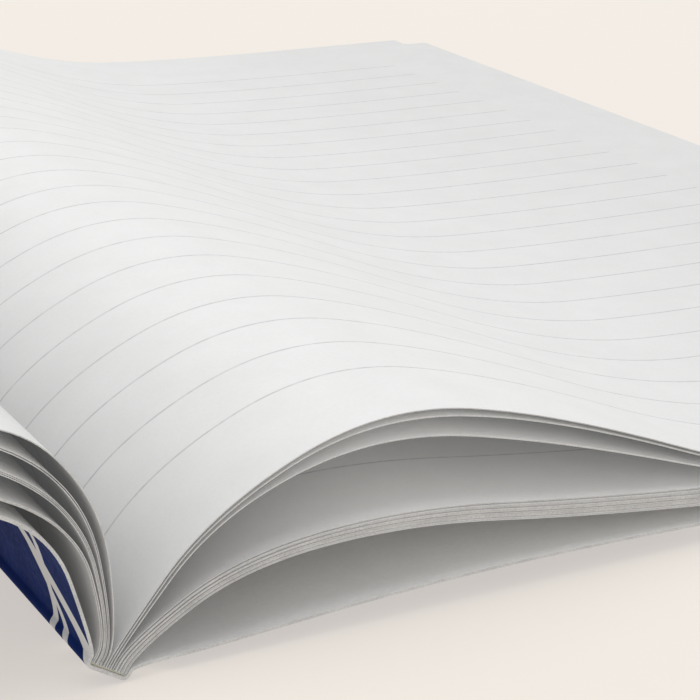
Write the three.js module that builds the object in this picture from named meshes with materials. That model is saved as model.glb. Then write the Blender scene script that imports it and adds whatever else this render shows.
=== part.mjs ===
// Soft-cover pilot logbook, lying open on a table and resting on its spine corner and both fore-edges.
// Sizes are in millimetres: X runs to the right, Y from the foot of the pages to their head, Z up.
// Every leaf is clamped in the glued spine and bends above it. A leaf is built as a chain of flat panels
// that fold on lines parallel to the spine, so that closing the book lays every panel flat.
import * as THREE from "three";

const PAGE_HEIGHT = 203.2;
const LEAF_WIDTH = 153.1; // outside of the spine to the fore-edge
const CARD = 0.3; // cover card
const SHEET = 0.1; // one leaf of paper
const GLUE = 0.3; // hot-melt glue along the spine
const FLAP_HEIGHT = 1.6; // the cover wraps this far up each side of the block
const ROOT_HEIGHT = 3.1; // outside of the spine to the line where the leaves start to bend
const LEAF_AIR = 0.15; // clearance between neighbouring leaves, glue and card
const FOLD_AIR = 0.3; // clearance across each fold line
const RIGHT_FORE_AIR = 0.35; // under each right-hand leaf at its fore-edge
const LEFT_FORE_AIR = 0.85; // under each left-hand leaf at its fore-edge
const SPINE_LEAN = 58; // direction of the leaf roots above the table, in degrees
const PANEL_SHARES = [0.08, 0.107, 0.133, 0.213, 0.467]; // panel widths as shares of the free leaf

// The leaves from the back cover to the front cover: how many sheets each group holds, and the
// direction of its panels above the table, in degrees, from the root on. The last panel of each
// comes down to its place in the pile at the fore-edge.
const LEAVES = [
  { name: "right_block", sheets: 14, directions: [24, 4, -5, -8.5] },
  { name: "right_leaf_3", sheets: 1, directions: [45, 18, -10, -16.2] },
  { name: "right_leaf_2", sheets: 1, directions: [50, 26, -11.5, -18.9] },
  { name: "open_page", sheets: 1, directions: [51.5, 27.5, -12, -19.1] },
  { name: "left_page", sheets: 1, directions: [98, 136, 183, 200] },
  { name: "left_leaf_2", sheets: 2, directions: [100.6, 141, 184, 200] },
  { name: "left_leaf_3", sheets: 3, directions: [103.2, 148, 185, 199.5] },
  { name: "left_leaf_4", sheets: 2, directions: [106.2, 156, 185.5, 199] },
];
const FRONT_COVER_DIRECTIONS = [110, 163, 186, 199]; // the last panel comes down to the table

const paper = new THREE.MeshStandardMaterial({ color: 0xf3f3f1, roughness: 0.85, metalness: 0 });
const navyCard = new THREE.MeshStandardMaterial({ color: 0x0c1e4a, roughness: 0.45, metalness: 0 });
const hotMelt = new THREE.MeshStandardMaterial({ color: 0xe9dfc4, roughness: 0.5, metalness: 0 });

const book = new THREE.Group();
book.name = "pilot_logbook";

const radians = THREE.MathUtils.degToRad;

// Unit vector in the XZ plane at an angle above +X.
function heading(degrees) {
  return new THREE.Vector3(Math.cos(radians(degrees)), 0, Math.sin(radians(degrees)));
}

// Air left on each side of a fold, so that neither panel's corner meets the other when it is bent.
function foldAir(thickness, bend) {
  return FOLD_AIR / 2 + (thickness / 2) * Math.tan(radians(Math.abs(bend)) / 2);
}

// One flat panel whose mid-plane runs from a start point along a direction.
function addPanel(name, start, direction, width, thickness, material) {
  const panel = new THREE.Mesh(new THREE.BoxGeometry(width, PAGE_HEIGHT, thickness), material);
  panel.name = name;
  panel.position.copy(start).addScaledVector(heading(direction), width / 2);
  panel.rotation.y = -radians(direction);
  book.add(panel);
}

// A chain of panels from a fold line: it starts from the direction of the part that holds it.
function addChain(name, fold, heldDirection, directions, widths, thickness, material) {
  const line = fold.clone();
  directions.forEach((direction, i) => {
    const before = i === 0 ? heldDirection : directions[i - 1];
    const after = i === directions.length - 1 ? null : directions[i + 1];
    const startAir = foldAir(thickness, direction - before);
    const endAir = after === null ? 0 : foldAir(thickness, after - direction);
    const start = line.clone().addScaledVector(heading(direction), startAir);
    addPanel(`${name}_${i + 1}`, start, direction, widths[i] - startAir - endAir, thickness, material);
    line.addScaledVector(heading(direction), widths[i]);
  });
}

// The spine leans over to the front cover's side. Its outer corner at the back cover touches the table
// at X = 0, "across" runs from there to the front cover and "out" runs along the leaf roots.
const out = heading(SPINE_LEAN);
const across = heading(SPINE_LEAN + 90);

function inSpine(acrossBy, outBy) {
  return new THREE.Vector3().addScaledVector(across, acrossBy).addScaledVector(out, outBy);
}

const sheetsInAll = LEAVES.reduce((sum, leaf) => sum + leaf.sheets, 0);
const spineWidth = 2 * CARD + sheetsInAll * SHEET + (LEAVES.length + 1) * LEAF_AIR;
const rootStart = CARD + LEAF_AIR + GLUE + LEAF_AIR;

// Back cover: it hangs from the top of its flap and comes down to the table at the fore-edge.
const coverWidth = LEAF_WIDTH - FLAP_HEIGHT;
const backFold = inSpine(CARD / 2, FLAP_HEIGHT);
const backDirection = -THREE.MathUtils.radToDeg(Math.asin((backFold.z - CARD / 2) / coverWidth));
const backAir = foldAir(CARD, SPINE_LEAN - backDirection);
addPanel(
  "back_cover",
  backFold.clone().addScaledVector(heading(backDirection), backAir),
  backDirection,
  coverWidth - backAir,
  CARD,
  navyCard,
);

// Spine of the cover: one U-shaped fold of card with a flap on each side of the block.
const frontAir = foldAir(CARD, FRONT_COVER_DIRECTIONS[0] - SPINE_LEAN);
const wrapOutline = new THREE.Shape([
  new THREE.Vector2(0, 0),
  new THREE.Vector2(spineWidth, 0),
  new THREE.Vector2(spineWidth, FLAP_HEIGHT - frontAir),
  new THREE.Vector2(spineWidth - CARD, FLAP_HEIGHT - frontAir),
  new THREE.Vector2(spineWidth - CARD, CARD),
  new THREE.Vector2(CARD, CARD),
  new THREE.Vector2(CARD, FLAP_HEIGHT - backAir),
  new THREE.Vector2(0, FLAP_HEIGHT - backAir),
]);
const wrapGeometry = new THREE.ExtrudeGeometry(wrapOutline, { depth: PAGE_HEIGHT, bevelEnabled: false });
wrapGeometry.translate(0, 0, -PAGE_HEIGHT / 2);
wrapGeometry.applyMatrix4(new THREE.Matrix4().makeBasis(across, out, new THREE.Vector3(0, 1, 0)));
const wrap = new THREE.Mesh(wrapGeometry, navyCard);
wrap.name = "spine_wrap";
book.add(wrap);

// Hot-melt glue between the spine and the clamped edges of the leaves.
const glueWidth = spineWidth - 2 * (CARD + LEAF_AIR);
addPanel("spine_glue", inSpine(CARD + LEAF_AIR, CARD + LEAF_AIR + GLUE / 2), SPINE_LEAN + 90, glueWidth, GLUE, hotMelt);

// Directions of a whole chain: the last panel runs on, to the right or the left, down to an end height.
function withLastPanel(fold, directions, widths, endHeight) {
  const lastFold = fold.clone();
  directions.forEach((direction, i) => lastFold.addScaledVector(heading(direction), widths[i]));
  const drop = THREE.MathUtils.radToDeg(Math.asin((lastFold.z - endHeight) / widths.at(-1)));
  return [...directions, directions.at(-1) > 90 ? 180 + drop : -drop];
}

// Height of the middle of each leaf at its fore-edge: the leaves of one side lie in a pile on its cover.
function fillPile(leaves, air, heights) {
  let top = CARD;
  for (const { name, sheets } of leaves) {
    heights.set(name, top + air + (sheets * SHEET) / 2);
    top += air + sheets * SHEET;
  }
}

const foreHeights = new Map();
const rightLeaves = LEAVES.filter(({ directions }) => directions[0] < 90);
const leftLeaves = LEAVES.filter(({ directions }) => directions[0] >= 90);
fillPile(rightLeaves, RIGHT_FORE_AIR, foreHeights);
fillPile(leftLeaves.reverse(), LEFT_FORE_AIR, foreHeights);

// The leaves: a clamped root in the spine, then the bending panels.
const freeWidth = LEAF_WIDTH - ROOT_HEIGHT;
const panelWidths = PANEL_SHARES.map((share) => share * freeWidth);
let rootEdge = CARD + LEAF_AIR;
for (const { name, sheets, directions } of LEAVES) {
  const thickness = sheets * SHEET;
  const middle = rootEdge + thickness / 2;
  const rootWidth = ROOT_HEIGHT - rootStart - foldAir(thickness, directions[0] - SPINE_LEAN);
  addPanel(`${name}_root`, inSpine(middle, rootStart), SPINE_LEAN, rootWidth, thickness, paper);
  const fold = inSpine(middle, ROOT_HEIGHT);
  const leafDirections = withLastPanel(fold, directions, panelWidths, foreHeights.get(name));
  addChain(name, fold, SPINE_LEAN, leafDirections, panelWidths, thickness, paper);
  rootEdge += thickness + LEAF_AIR;
}

// Front cover: folded back to the left, with its fore-edge resting on the table.
const frontFold = inSpine(spineWidth - CARD / 2, FLAP_HEIGHT);
const frontWidths = [coverWidth - freeWidth + panelWidths[0], ...panelWidths.slice(1)];
const frontDirections = withLastPanel(frontFold, FRONT_COVER_DIRECTIONS, frontWidths, CARD / 2);
addChain("front_cover", frontFold, SPINE_LEAN, frontDirections, frontWidths, CARD, navyCard);

// The open book is centred over the origin.
const reach = new THREE.Box3().setFromObject(book);
for (const mesh of book.children) mesh.position.x -= (reach.min.x + reach.max.x) / 2;

export default book;
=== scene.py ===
import math
import random

import bpy
from mathutils import Matrix, Vector


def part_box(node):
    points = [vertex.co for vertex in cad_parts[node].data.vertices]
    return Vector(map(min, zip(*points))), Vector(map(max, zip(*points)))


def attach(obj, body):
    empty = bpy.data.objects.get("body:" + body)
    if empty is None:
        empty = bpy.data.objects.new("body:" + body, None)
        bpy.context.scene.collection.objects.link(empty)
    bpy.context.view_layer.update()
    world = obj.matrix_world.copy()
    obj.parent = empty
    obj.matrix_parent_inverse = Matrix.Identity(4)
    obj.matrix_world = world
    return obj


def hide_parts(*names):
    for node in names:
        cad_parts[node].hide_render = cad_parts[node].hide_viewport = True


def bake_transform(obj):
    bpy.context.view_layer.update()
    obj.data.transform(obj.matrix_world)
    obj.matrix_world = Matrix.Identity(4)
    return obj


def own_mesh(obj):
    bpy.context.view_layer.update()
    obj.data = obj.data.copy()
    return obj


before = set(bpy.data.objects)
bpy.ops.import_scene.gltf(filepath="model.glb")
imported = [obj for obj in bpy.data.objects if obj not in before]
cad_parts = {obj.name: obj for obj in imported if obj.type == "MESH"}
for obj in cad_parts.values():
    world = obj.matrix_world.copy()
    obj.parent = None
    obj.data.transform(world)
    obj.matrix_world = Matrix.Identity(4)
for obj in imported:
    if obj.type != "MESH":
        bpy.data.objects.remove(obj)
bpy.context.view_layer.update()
bpy.ops.object.select_all(action="DESELECT")

MM = 0.001

# The page: its foot and head, where the writing lines lie on it, and where its painted shade starts and ends.
TAIL, HEAD = -101.6, 101.6
PAGE_HEIGHT = HEAD - TAIL
LINE_PITCH, FIRST_LINE, LINES = 7.487, 1.52, 24
LINE_END = 144.0
GUTTER_SHADE_END = 34.0
MARGIN_SHADE_START, MARGIN_SHADE_END = 40.0, 150.0

# The spine: its back corner, the way it leans, and how wide it is over both boards.
CORNER = Vector((-4.918231, 0.0))
LEAN = 58.0
SPINE_WIDTH = 4.45
CARD = 0.3
FLAP = 1.6
ROOT = 3.1
GLUE_TOP = 0.75

# Each group of leaves: its sheets, its thickness, and the points that lead its curve from the
# spine to the fore-edge, measured from the spine's back corner.
LEAVES = {
    "right_block": (14, 1.4, ((0.67, 3.24), (10.78, 8.98), (27.54, 9.86), (47.52, 6.61), (79.46, 2.98),
                              (104.53, 1.62), (151.4, 1.35))),
    "right_leaf_3": (1, 0.1, ((-0.10, 3.72), (8.56, 13.77), (23.90, 18.44), (42.19, 14.42), (72.83, 3.92),
                              (98.44, 2.78), (147.0, 2.44))),
    "right_leaf_2": (1, 0.1, ((-0.31, 3.85), (7.68, 13.49), (23.09, 20.22), (42.21, 16.62), (72.20, 4.48),
                              (97.17, 3.14), (145.0, 2.88))),
    "open_page": (1, 0.1, ((-0.52, 3.98), (7.78, 14.05), (23.94, 21.01), (42.14, 17.10), (71.84, 4.93),
                           (96.68, 3.44), (144.3, 3.34))),
    "left_page": (1, 0.1, ((-0.73, 4.11), (-1.90, 17.53), (-10.99, 26.82), (-32.13, 26.35), (-62.95, 15.4),
                           (-88.21, 11.3), (-136.1, 3.99))),
    "left_leaf_2": (2, 0.2, ((-0.99, 4.27), (-3.37, 18.75), (-15.34, 26.44), (-35.36, 24.98), (-65.50, 13.99),
                             (-90.47, 10.19), (-137.8, 3.02))),
    "left_leaf_3": (3, 0.3, ((-1.33, 4.48), (-3.92, 17.50), (-17.35, 25.11), (-37.34, 23.29), (-67.58, 12.52),
                             (-92.57, 8.86), (-139.9, 1.95))),
    "left_leaf_4": (2, 0.2, ((-1.66, 4.70), (-4.29, 16.10), (-18.46, 22.46), (-39.63, 21.40), (-69.70, 10.34),
                             (-94.77, 7.13), (-141.7, 0.98))),
}
FRONT_COVER = ((-2.80, 3.64), (-6.84, 17.02), (-22.15, 20.45), (-40.41, 19.58), (-71.77, 8.73),
               (-97.18, 5.58), (-142.36, 0.15))
BACK_HEADING, BACK_WIDTH = -0.4865, 151.5
BACK_ARCH, ARCH_REACH, ARCH_LEAN = 1.6, 108.0, 0.652


def way(angle):
    a = math.radians(angle)
    return Vector((math.cos(a), math.sin(a)))


def at_spine(across, out):
    return CORNER + way(LEAN + 90) * across + way(LEAN) * out


def place(p, y=0.0):
    return (p.x * MM, y * MM, p.y * MM)


# ---- curves -------------------------------------------------------------------------------

def bend(a, corner, b, steps):
    """Points of the smooth bend from a to b whose two ends head to and from the corner."""
    pts = []
    for i in range(steps + 1):
        t = i / steps
        pts.append(a * (1 - t) ** 2 + corner * 2 * t * (1 - t) + b * t * t)
    return pts


def headings(pts):
    """The way the line heads at each of its points, without jumps past half a turn."""
    out = []
    for i in range(len(pts)):
        if i == 0:
            d = pts[1] - pts[0]
            if len(pts) > 2:
                d = d * 2 - (pts[2] - pts[0]) / 2
        elif i == len(pts) - 1:
            d = pts[-1] - pts[-2]
            if len(pts) > 2:
                d = d * 2 - (pts[-1] - pts[-3]) / 2
        else:
            d = pts[i + 1] - pts[i - 1]
        a = math.degrees(math.atan2(d.y, d.x))
        if out:
            a += 360 * round((out[-1] - a) / 360)
        out.append(a)
    return out


def lengths(pts, start=0.0):
    out = [start]
    for a, b in zip(pts, pts[1:]):
        out.append(out[-1] + (b - a).length)
    return out


# ---- sheets and boards --------------------------------------------------------------------

def only(obj):
    bpy.ops.object.select_all(action="DESELECT")
    obj.select_set(True)
    bpy.context.view_layer.objects.active = obj


def draw_out(name, pts, turns, sheets, spread=None):
    """Starts a piece as the cut ends of its sheets and draws them out along pts.
    sheets holds (offset, thickness, shift along Y) for each sheet, turns the heading at each point,
    and spread how far the sheets stand apart there."""
    spread = spread or [1.0] * len(pts)
    bpy.ops.object.select_all(action="DESELECT")
    for i, (offset, thick, shift) in enumerate(sheets):
        bpy.ops.mesh.primitive_plane_add(size=MM, location=(-offset * MM, shift * MM, 0))
        if i == 0:
            obj = bpy.context.object
            obj.name = obj.data.name = name
            bpy.ops.object.mode_set(mode="EDIT")
        bpy.ops.transform.resize(
            value=(thick, PAGE_HEIGHT, 1), center_override=(-offset * MM, shift * MM, 0))
    bpy.ops.mesh.select_all(action="SELECT")
    bpy.ops.transform.rotate(
        value=math.radians(turns[0] - 90), orient_axis="Y", center_override=(0, 0, 0))
    bpy.ops.transform.resize(value=(spread[0], 1, spread[0]), center_override=(0, 0, 0))
    bpy.ops.transform.translate(value=place(pts[0]))
    for i in range(1, len(pts)):
        step = pts[i] - pts[i - 1]
        bpy.ops.mesh.extrude_region_move(TRANSFORM_OT_translate={"value": place(step)})
        bpy.ops.transform.rotate(
            value=math.radians(turns[i] - turns[i - 1]), orient_axis="Y",
            center_override=place(pts[i]))
        k = spread[i] / spread[i - 1]
        if abs(k - 1) > 1e-6:
            bpy.ops.transform.resize(value=(k, 1, k), center_override=place(pts[i]))
    bpy.ops.object.mode_set(mode="OBJECT")
    bpy.ops.object.transform_apply(location=True, rotation=True, scale=True)
    return obj


def lay_map(obj, along, per_section):
    """The piece's own map: metres along the sheet from the spine, and metres up from its foot."""
    uv = obj.data.uv_layers.active or obj.data.uv_layers.new(name="sheet")
    uv.name = "sheet"
    for loop in obj.data.loops:
        v = obj.data.vertices[loop.vertex_index]
        s = along[loop.vertex_index // per_section]
        uv.data[loop.index].uv = (s * MM, v.co.y - TAIL * MM)


def finish_piece(obj, angle=35):
    only(obj)
    bpy.ops.object.shade_smooth_by_angle(angle=math.radians(angle))


def give_faces(piece, slot, faces):
    """Gives the faces with these numbers the material of that slot."""
    only(piece)
    bpy.ops.object.mode_set(mode="EDIT")
    bpy.ops.mesh.select_mode(type="FACE")
    bpy.ops.mesh.select_all(action="DESELECT")
    bpy.ops.object.mode_set(mode="OBJECT")
    for i in faces:
        piece.data.polygons[i].select = True
    bpy.ops.object.mode_set(mode="EDIT")
    piece.active_material_index = slot
    bpy.ops.object.material_slot_assign()
    bpy.ops.mesh.select_mode(type="VERT")
    bpy.ops.object.mode_set(mode="OBJECT")


def ease(t):
    t = max(0.0, min(1.0, t))
    return t * t * (3 - 2 * t)


def sheet_stack(count, thickness, rng, loose):
    """Sheets of one group, as (offset, thickness, shift); a loose group has uneven gaps."""
    if count == 1:
        return [(0.0, thickness, 0.0)]
    each = thickness / count
    gaps = [rng.uniform(0.1, 1.0) * loose for _ in range(count - 1)]
    total = count * each + sum(gaps)
    out, z = [], -total / 2
    for i in range(count):
        out.append((z + each / 2, each, rng.uniform(-0.1, 0.1)))
        z += each + (gaps[i] if i < count - 1 else 0)
    return out


# ---- materials ----------------------------------------------------------------------------

def new_material(name, colour, roughness):
    m = bpy.data.materials.new(name)
    m.use_nodes = True
    nt = m.node_tree
    bsdf = nt.nodes["Principled BSDF"]
    bsdf.inputs["Base Color"].default_value = (*colour, 1)
    bsdf.inputs["Roughness"].default_value = roughness
    m.diffuse_color = (*colour, 1)
    return m, nt, bsdf


def node(nt, kind, settings=None, **inputs):
    n = nt.nodes.new(kind)
    for k, v in (settings or {}).items():
        setattr(n, k, v)
    for k, v in inputs.items():
        key = int(k[1:]) if k[0] == "i" and k[1:].isdigit() else k.replace("_", " ")
        if isinstance(v, bpy.types.NodeSocket):
            nt.links.new(v, n.inputs[key])
        else:
            n.inputs[key].default_value = v
    return n


def sums(nt, op, a, b=0.0, c=None, clamp=False):
    kw = {"i0": a, "i1": b}
    if c is not None:
        kw["i2"] = c
    return node(nt, "ShaderNodeMath", {"operation": op, "use_clamp": clamp}, **kw).outputs[0]


def blend_colour(nt, amount, a, b, mode="MIX"):
    n = nt.nodes.new("ShaderNodeMix")
    n.data_type = "RGBA"
    n.blend_type = mode
    for sock, v in ((n.inputs[0], amount), (n.inputs[6], a), (n.inputs[7], b)):
        if isinstance(v, bpy.types.NodeSocket):
            nt.links.new(v, sock)
        else:
            sock.default_value = v if sock.type == "VALUE" else (*v, 1)
    return n.outputs[2]


def noise(nt, vector, scale, detail=2.0, rough=0.5):
    return node(nt, "ShaderNodeTexNoise", {}, Vector=vector, Scale=scale, Detail=detail,
                Roughness=rough).outputs[0]


def soft_step(nt, value, low, high, to_low=0.0, to_high=1.0):
    n = node(nt, "ShaderNodeMapRange", {"interpolation_type": "SMOOTHSTEP"}, Value=value)
    for k, v in zip(("From Min", "From Max", "To Min", "To Max"), (low, high, to_low, to_high)):
        n.inputs[k].default_value = v
    return n.outputs[0]


def sheet_map(nt):
    """The two values of the piece's own map: along the sheet, and up from its foot."""
    uv = node(nt, "ShaderNodeUVMap", {"uv_map": "sheet"}).outputs[0]
    sep = node(nt, "ShaderNodeSeparateXYZ", {}, Vector=uv)
    return sep.outputs[0], sep.outputs[1]


def bump(nt, bsdf, height, distance, strength=1.0):
    b = node(nt, "ShaderNodeBump", {}, Height=height, Strength=strength, Distance=distance)
    nt.links.new(b.outputs[0], bsdf.inputs["Normal"])


def ruled_paper():
    m, nt, bsdf = new_material("ruled writing paper", (0.9, 0.9, 0.89), 0.86)
    u, v = sheet_map(nt)
    obj = node(nt, "ShaderNodeTexCoord").outputs["Object"]
    fibres = noise(nt, obj, 2600, 3.0, 0.6)
    clouds = noise(nt, obj, 160, 3.0, 0.55)
    tone = sums(nt, "ADD", sums(nt, "MULTIPLY", fibres, 0.5), sums(nt, "MULTIPLY", clouds, 0.5))
    paper = blend_colour(
        nt, soft_step(nt, tone, 0.3, 0.7), (0.86, 0.86, 0.855), (0.905, 0.905, 0.9))
    # painted shade: the sheet is darkened towards the gutter, and a little towards the outer margin
    painted_gutter_shade = soft_step(nt, u, 0.0, GUTTER_SHADE_END * MM, 0.66, 1.0)
    painted_margin_shade = soft_step(nt, u, MARGIN_SHADE_START * MM, MARGIN_SHADE_END * MM, 1.0, 0.87)
    shade = sums(nt, "MULTIPLY", painted_gutter_shade, painted_margin_shade)
    shade = node(nt, "ShaderNodeCombineColor", {}, i0=shade, i1=shade, i2=shade).outputs[0]
    paper = blend_colour(nt, 1.0, paper, shade, "MULTIPLY")
    # printed lines, a little uneven in their ink
    row = sums(nt, "SUBTRACT", sums(nt, "DIVIDE", v, LINE_PITCH * MM), FIRST_LINE)
    off = sums(nt, "ABSOLUTE", sums(nt, "SUBTRACT", sums(nt, "FRACT", sums(nt, "ADD", row, 0.5)), 0.5))
    ink = soft_step(nt, off, 0.008, 0.024, 1.0, 0.0)
    ink = sums(nt, "MULTIPLY", ink, soft_step(nt, row, -0.4, -0.3))
    ink = sums(nt, "MULTIPLY", ink, soft_step(nt, row, LINES - 0.7, LINES - 0.6, 1.0, 0.0))
    stop = LINE_END * MM
    ink = sums(nt, "MULTIPLY", ink, soft_step(nt, u, stop - 0.0003, stop, 1.0, 0.0))
    wear = soft_step(nt, noise(nt, obj, 900, 2.0), 0.3, 0.7, 0.6, 1.0)
    ink = sums(nt, "MULTIPLY", ink, wear)
    colour = blend_colour(nt, ink, paper, blend_colour(nt, 1.0, paper, (0.7, 0.7, 0.71), "MULTIPLY"))
    nt.links.new(colour, bsdf.inputs["Base Color"])
    nt.links.new(soft_step(nt, fibres, 0.3, 0.7, 0.8, 0.92), bsdf.inputs["Roughness"])
    bump(nt, bsdf, tone, 0.00003, 0.6)
    # painted light: a faint even glow over the whole sheet
    paint_backlight_glow(bsdf, 0.022)
    return m


def paint_backlight_glow(bsdf, share):
    """Painted light: the sheet glows a little by its own emission, in place of the light that thin sheets
    pass on to each other from behind.
    """
    bsdf.inputs["Emission Color"].default_value = (1.0, 1.0, 1.0, 1)
    bsdf.inputs["Emission Strength"].default_value = share


def cut_edge():
    """The guillotined edge of the sheets: a little rougher than their faces, and darker, partly its own tone
    and partly painted shade between the stacked sheets.
    """
    m, nt, bsdf = new_material("cut paper edge", (0.7, 0.7, 0.69), 0.95)
    obj = node(nt, "ShaderNodeTexCoord").outputs["Object"]
    ragged = noise(nt, obj, 5000, 3.0, 0.7)
    long = noise(nt, obj, 500, 2.0)
    tone = sums(nt, "ADD", sums(nt, "MULTIPLY", ragged, 0.7), sums(nt, "MULTIPLY", long, 0.3))
    # darker tone: partly the cut edge's own colour, partly painted shade between the sheets
    colour = blend_colour(nt, soft_step(nt, tone, 0.3, 0.7), (0.52, 0.52, 0.515), (0.76, 0.76, 0.75))
    nt.links.new(colour, bsdf.inputs["Base Color"])
    nt.links.new(soft_step(nt, ragged, 0.3, 0.7, 0.85, 1.0), bsdf.inputs["Roughness"])
    bump(nt, bsdf, ragged, 0.00005, 0.7)
    return m


STROKES = (  # generic crossing strokes: (turn of the stroke, its place, half its width), mm
    (40, -2.0, 0.9), (60, 3.2, 0.5), (62, 44, 0.6), (118, -38, 0.7), (97, 8, 0.6), (75, -26, 0.8),
    (134, 70, 0.8), (28, 60, 0.6), (150, -60, 0.6), (50, 96, 1.0), (105, 66, 0.8), (20, 110, 0.7),
)


def printed_film():
    m, nt, bsdf = new_material("printed cover film", (0.006, 0.019, 0.1), 0.4)
    u, v = sheet_map(nt)
    obj = node(nt, "ShaderNodeTexCoord").outputs["Object"]
    stroke = None
    for turn, where, half in STROKES:
        a = math.radians(turn)
        d = sums(nt, "ADD", sums(nt, "MULTIPLY", u, math.cos(a)), sums(nt, "MULTIPLY", v, math.sin(a)))
        d = sums(nt, "ABSOLUTE", sums(nt, "SUBTRACT", d, where * MM))
        s = soft_step(nt, d, (half - 0.05) * MM, (half + 0.05) * MM, 1.0, 0.0)
        stroke = s if stroke is None else sums(nt, "MAXIMUM", stroke, s)
    mottle = noise(nt, obj, 300, 3.0)
    navy = blend_colour(nt, soft_step(nt, mottle, 0.3, 0.7), (0.006, 0.021, 0.12), (0.009, 0.028, 0.15))
    colour = blend_colour(nt, stroke, navy, (0.8, 0.8, 0.78))
    nt.links.new(colour, bsdf.inputs["Base Color"])
    fine = noise(nt, obj, 1500, 3.0, 0.6)
    nt.links.new(soft_step(nt, fine, 0.3, 0.7, 0.5, 0.62), bsdf.inputs["Roughness"])
    bsdf.inputs["Specular IOR Level"].default_value = 0.02
    bump(nt, bsdf, fine, 0.00002, 0.4)
    return m


def white_board():
    m, nt, bsdf = new_material("white cover board", (0.88, 0.88, 0.87), 0.7)
    obj = node(nt, "ShaderNodeTexCoord").outputs["Object"]
    fibres = noise(nt, obj, 1800, 4.0, 0.65)
    clouds = noise(nt, obj, 120, 2.0)
    tone = sums(nt, "ADD", sums(nt, "MULTIPLY", fibres, 0.6), sums(nt, "MULTIPLY", clouds, 0.4))
    colour = blend_colour(nt, soft_step(nt, tone, 0.3, 0.7), (0.84, 0.84, 0.83), (0.9, 0.9, 0.89))
    nt.links.new(colour, bsdf.inputs["Base Color"])
    nt.links.new(soft_step(nt, fibres, 0.3, 0.7, 0.62, 0.78), bsdf.inputs["Roughness"])
    bump(nt, bsdf, tone, 0.00004, 0.6)
    return m


def binding_glue():
    m, nt, bsdf = new_material("hot-melt binding glue", (0.8, 0.74, 0.6), 0.4)
    obj = node(nt, "ShaderNodeTexCoord").outputs["Object"]
    lumps = noise(nt, obj, 700, 3.0)
    colour = blend_colour(nt, soft_step(nt, lumps, 0.3, 0.7), (0.76, 0.7, 0.56), (0.86, 0.81, 0.69))
    nt.links.new(colour, bsdf.inputs["Base Color"])
    nt.links.new(soft_step(nt, lumps, 0.3, 0.7, 0.32, 0.5), bsdf.inputs["Roughness"])
    bsdf.inputs["Subsurface Weight"].default_value = 0.2
    bsdf.inputs["Subsurface Scale"].default_value = 0.001
    bump(nt, bsdf, lumps, 0.00015, 0.8)
    return m


def studio_floor():
    m, nt, bsdf = new_material("pale studio floor", (0.34, 0.319, 0.295), 0.9)
    obj = node(nt, "ShaderNodeTexCoord").outputs["Object"]
    n = noise(nt, obj, 6, 2.0)
    colour = blend_colour(nt, soft_step(nt, n, 0.3, 0.7), (0.338, 0.317, 0.293), (0.342, 0.321, 0.297))
    nt.links.new(colour, bsdf.inputs["Base Color"])
    bsdf.inputs["Specular IOR Level"].default_value = 0.1
    bsdf.inputs["Emission Color"].default_value = (0.572, 0.537, 0.497, 1)
    bsdf.inputs["Emission Strength"].default_value = 1.0
    return m


PAPER = ruled_paper()
CUT_EDGE = cut_edge()
FILM = printed_film()
BOARD = white_board()
GLUE = binding_glue()
FLOOR = studio_floor()


# ---- leaves -------------------------------------------------------------------------------

def parts_of_chain(foot, lead, foot_reach):
    """The five lengths of a leaf or cover that bend one after the other, each as its points,
    with the two points between which it turns."""
    q = [CORNER + Vector(p) for p in lead]
    mid = [(a + b) / 2 for a, b in zip(q, q[1:])]
    low = q[0] - way(LEAN) * foot_reach
    first = [foot] + bend(low, q[0], mid[0], 12)
    if (foot - low).length < 0.01:
        first = first[1:]
    out = [(first, low, mid[0])]
    for k in range(1, 5):
        pts = bend(mid[k - 1], q[k], mid[k], 14)
        if k == 4:
            pts += bend(mid[4], q[5], mid[5], 12)[1:] + [q[6]]
        out.append((pts, mid[k - 1], mid[k]))
    return out


def build_leaf(name, count, thickness, lead):
    rng = random.Random(name)
    sheets = sheet_stack(count, thickness, rng, {14: 0.075, 3: 0.12, 2: 0.12}.get(count, 0))
    total = max(o + t / 2 for o, t, s in sheets) * 2
    tight = min(1.0, thickness / total)
    foot = CORNER + Vector(lead[0]) - way(LEAN) * (ROOT - GLUE_TOP + 0.2)
    run = 0.0
    for k, (pts, a, b) in enumerate(parts_of_chain(foot, lead, 1.8)):
        along = lengths(pts, run)
        run = along[-1]
        spread = [tight + (1 - tight) * ease(s / 60.0) for s in along]
        piece = draw_out(f"{name}_sheet_{k + 1}", pts, headings(pts), sheets, spread)
        if k == 4 and count > 1:
            trim_fore_edges(piece, len(sheets), (pts[-1] - pts[-2]).normalized(), rng)
        lay_map(piece, along, 4 * len(sheets))
        piece.data.materials.append(PAPER)
        piece.data.materials.append(CUT_EDGE)
        give_faces(piece, 1, [f.index for f in piece.data.polygons if abs(f.normal.y) > 0.7])
        finish_piece(piece)
        if k == 0:
            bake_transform(piece)
            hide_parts(f"{name}_root")
        else:
            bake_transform(piece)
            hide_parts(f"{name}_{k}")
        if k == 4:
            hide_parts(f"{name}_5")


def trim_fore_edges(piece, count, heading, rng):
    """The trimmed ends of the sheets don't lie quite in one plane."""
    total = len(piece.data.vertices)
    last = list(range(total - 4 * count, total))
    only(piece)
    ends = [list(f.vertices) for f in piece.data.polygons if all(i in last for i in f.vertices)]
    shifts = [rng.uniform(-0.12, 0.12) for _ in ends]
    for corners, shift in zip(ends, shifts):
        bpy.ops.object.mode_set(mode="EDIT")
        bpy.ops.mesh.select_all(action="DESELECT")
        bpy.ops.object.mode_set(mode="OBJECT")
        for i in corners:
            piece.data.vertices[i].select = True
        bpy.ops.object.mode_set(mode="EDIT")
        bpy.ops.transform.translate(value=place(heading * shift))
        bpy.ops.object.mode_set(mode="OBJECT")


for name, (count, thickness, lead) in LEAVES.items():
    build_leaf(name, count, thickness, lead)


# ---- cover --------------------------------------------------------------------------------

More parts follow.
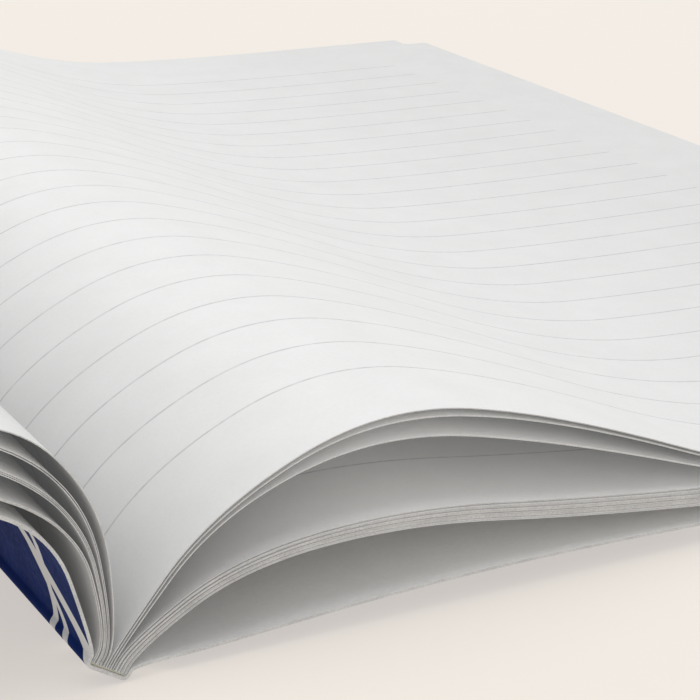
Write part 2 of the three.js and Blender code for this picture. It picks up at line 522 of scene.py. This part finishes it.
def draw_card(name, pts, along, outside):
    """A length of cover board: film on its outer side (outside is +1 where that is to the left
    of the way it is drawn, -1 where it is to the right), bare board inside and at its edges."""
    turns = headings(pts)
    piece = draw_out(name, pts, turns, [(0.0, CARD, 0.0)])
    lay_map(piece, along, 4)
    piece.data.materials.append(BOARD)
    piece.data.materials.append(FILM)
    piece.data.materials.append(CUT_EDGE)
    outer = []
    for face in piece.data.polygons:
        sections = {i // 4 for i in face.vertices}
        if len(sections) < 2 or abs(face.normal.y) > 0.5:
            continue
        turn = math.radians(sum(turns[i] for i in sections) / len(sections))
        left = Vector((-math.sin(turn), 0, math.cos(turn)))
        if face.normal.dot(left) * outside > 0.5:
            outer.append(face.index)
    give_faces(piece, 1, outer)
    give_faces(piece, 2, [f.index for f in piece.data.polygons if abs(f.normal.y) > 0.7])
    finish_piece(piece)
    return piece


def corner_round(a, corner, b, radius, steps=6):
    """From a to b round the corner with the given radius."""
    da, db = (a - corner).normalized(), (b - corner).normalized()
    return [a] + bend(corner + da * radius, corner, corner + db * radius, steps) + [b]


FLAP_CUT = 1.0
SPINE_CORNER = 0.5
HINGE_REACH = 5.0
BACK_STEPS = 36
FRONT_ACROSS, BACK_ACROSS = SPINE_WIDTH - CARD / 2, CARD / 2


def build_cover():
    low_front = at_spine(FRONT_ACROSS, CARD / 2)
    low_back = at_spine(BACK_ACROSS, CARD / 2)
    front_top = at_spine(FRONT_ACROSS, FLAP_CUT)
    back_top = at_spine(BACK_ACROSS, FLAP_CUT)
    mid = at_spine(SPINE_WIDTH / 2, CARD / 2)
    pts = corner_round(front_top, low_front, mid, SPINE_CORNER)[:-1]
    pts += corner_round(mid, low_back, back_top, SPINE_CORNER)[1:]
    along = lengths(pts)
    half = along[-1] / 2
    wrap = draw_card("spine_wrap_card", pts, [s - half for s in along], -1)
    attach(wrap, "spine")
    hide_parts("spine_wrap")

    run = half
    start = at_spine(FRONT_ACROSS, FLAP) - CORNER
    lead = ((start.x, start.y),) + FRONT_COVER[1:]
    for k, (pts, a, b) in enumerate(parts_of_chain(front_top, lead, FLAP - FLAP_CUT)):
        along = lengths(pts, run)
        run = along[-1]
        piece = draw_card(f"front_cover_card_{k + 1}", pts, [-s for s in along], 1)
        if k == 0:
            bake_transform(piece)
        else:
            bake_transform(piece)
            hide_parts(f"front_cover_{k}")
        if k == 4:
            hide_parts("front_cover_5")

    fold = at_spine(BACK_ACROSS, FLAP)
    flat = way(BACK_HEADING)
    pts = bend(back_top, fold, fold + flat * HINGE_REACH, 14)
    along = lengths(pts, half)
    hinge = draw_card("back_cover_hinge", pts, along, -1)
    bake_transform(hinge)
    far = fold + flat * BACK_WIDTH
    rise = way(BACK_HEADING + 90)
    panel_pts = []
    for i in range(BACK_STEPS + 1):
        reach = i / BACK_STEPS * BACK_WIDTH
        arch = math.sin(math.pi * min(1.0, reach / ARCH_REACH) ** ARCH_LEAN) ** 2 * BACK_ARCH
        panel_pts.append(pts[-1].lerp(far, i / BACK_STEPS) + rise * arch)
    panel = draw_card("back_cover_card", panel_pts, lengths(panel_pts, along[-1]), -1)
    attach(panel, "back_cover")
    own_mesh(panel)
    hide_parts("back_cover")


build_cover()


def build_glue():
    """The strip of glue between the spine card and the backs of the sheets, with its rounded bead."""
    node_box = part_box("spine_glue")
    bpy.ops.object.select_all(action="DESELECT")
    bpy.ops.mesh.primitive_cube_add(size=MM, location=(0, 0, 0))
    strip = bpy.context.object
    strip.name = strip.data.name = "spine_glue_strip"
    bpy.ops.object.mode_set(mode="EDIT")
    size = (SPINE_WIDTH - 2 * CARD, PAGE_HEIGHT - 0.6, GLUE_TOP - CARD)
    bpy.ops.transform.resize(value=size, center_override=(0, 0, 0))
    bpy.ops.mesh.bevel(offset=0.1 * MM, segments=3, affect="EDGES")
    bpy.ops.mesh.select_all(action="SELECT")
    bpy.ops.transform.rotate(value=math.radians(LEAN - 90), orient_axis="Y", center_override=(0, 0, 0))
    bpy.ops.transform.translate(value=place(at_spine(SPINE_WIDTH / 2, (GLUE_TOP + CARD) / 2)))
    bpy.ops.object.mode_set(mode="OBJECT")
    strip.data.materials.append(GLUE)
    finish_piece(strip)
    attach(strip, "spine")
    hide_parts("spine_glue")


build_glue()


# ---- floor, light and camera --------------------------------------------------------------

KEY_TURN, KEY_ENERGY, KEY_SOFTNESS = (-8, -6, 0), 1.05, 60
ROOM_LIGHT = 0.62


def build_stage():
    bpy.ops.object.select_all(action="DESELECT")
    bpy.ops.mesh.primitive_plane_add(size=6, location=(0, 0, 0))
    floor = bpy.context.object
    floor.name = "studio_floor"
    floor.data.materials.append(FLOOR)
    world = bpy.data.worlds.new("soft room")
    bpy.context.scene.world = world
    world.use_nodes = True
    back = world.node_tree.nodes["Background"]
    back.inputs[0].default_value = (1.0, 1.0, 1.0, 1)
    back.inputs[1].default_value = ROOM_LIGHT
    turn = [math.radians(a) for a in KEY_TURN]
    bpy.ops.object.light_add(type="SUN", location=(0, 0, 1), rotation=turn)
    lamp = bpy.context.object
    lamp.name = "key"
    lamp.data.energy = KEY_ENERGY
    lamp.data.angle = math.radians(KEY_SOFTNESS)


def build_camera():
    bpy.ops.object.camera_add()
    cam = bpy.context.object
    cam.name = "view"
    ahead = Vector((0.46332, 0.81638, -0.34476)).normalized()
    right = Vector((0.87359, -0.48613, 0.02288))
    right = (right - ahead * right.dot(ahead)).normalized()
    up = right.cross(ahead)
    m = Matrix((right, up, -ahead)).transposed().to_4x4()
    m.translation = Vector((-66.78, -247.28, 88.02)) * MM
    cam.matrix_world = m
    cam.data.sensor_width = 36
    cam.data.lens = 108.64
    cam.data.clip_start = 0.005
    cam.data.clip_end = 20
    bpy.context.scene.camera = cam


build_stage()
build_camera()
bpy.context.scene.view_settings.view_transform = "Standard"
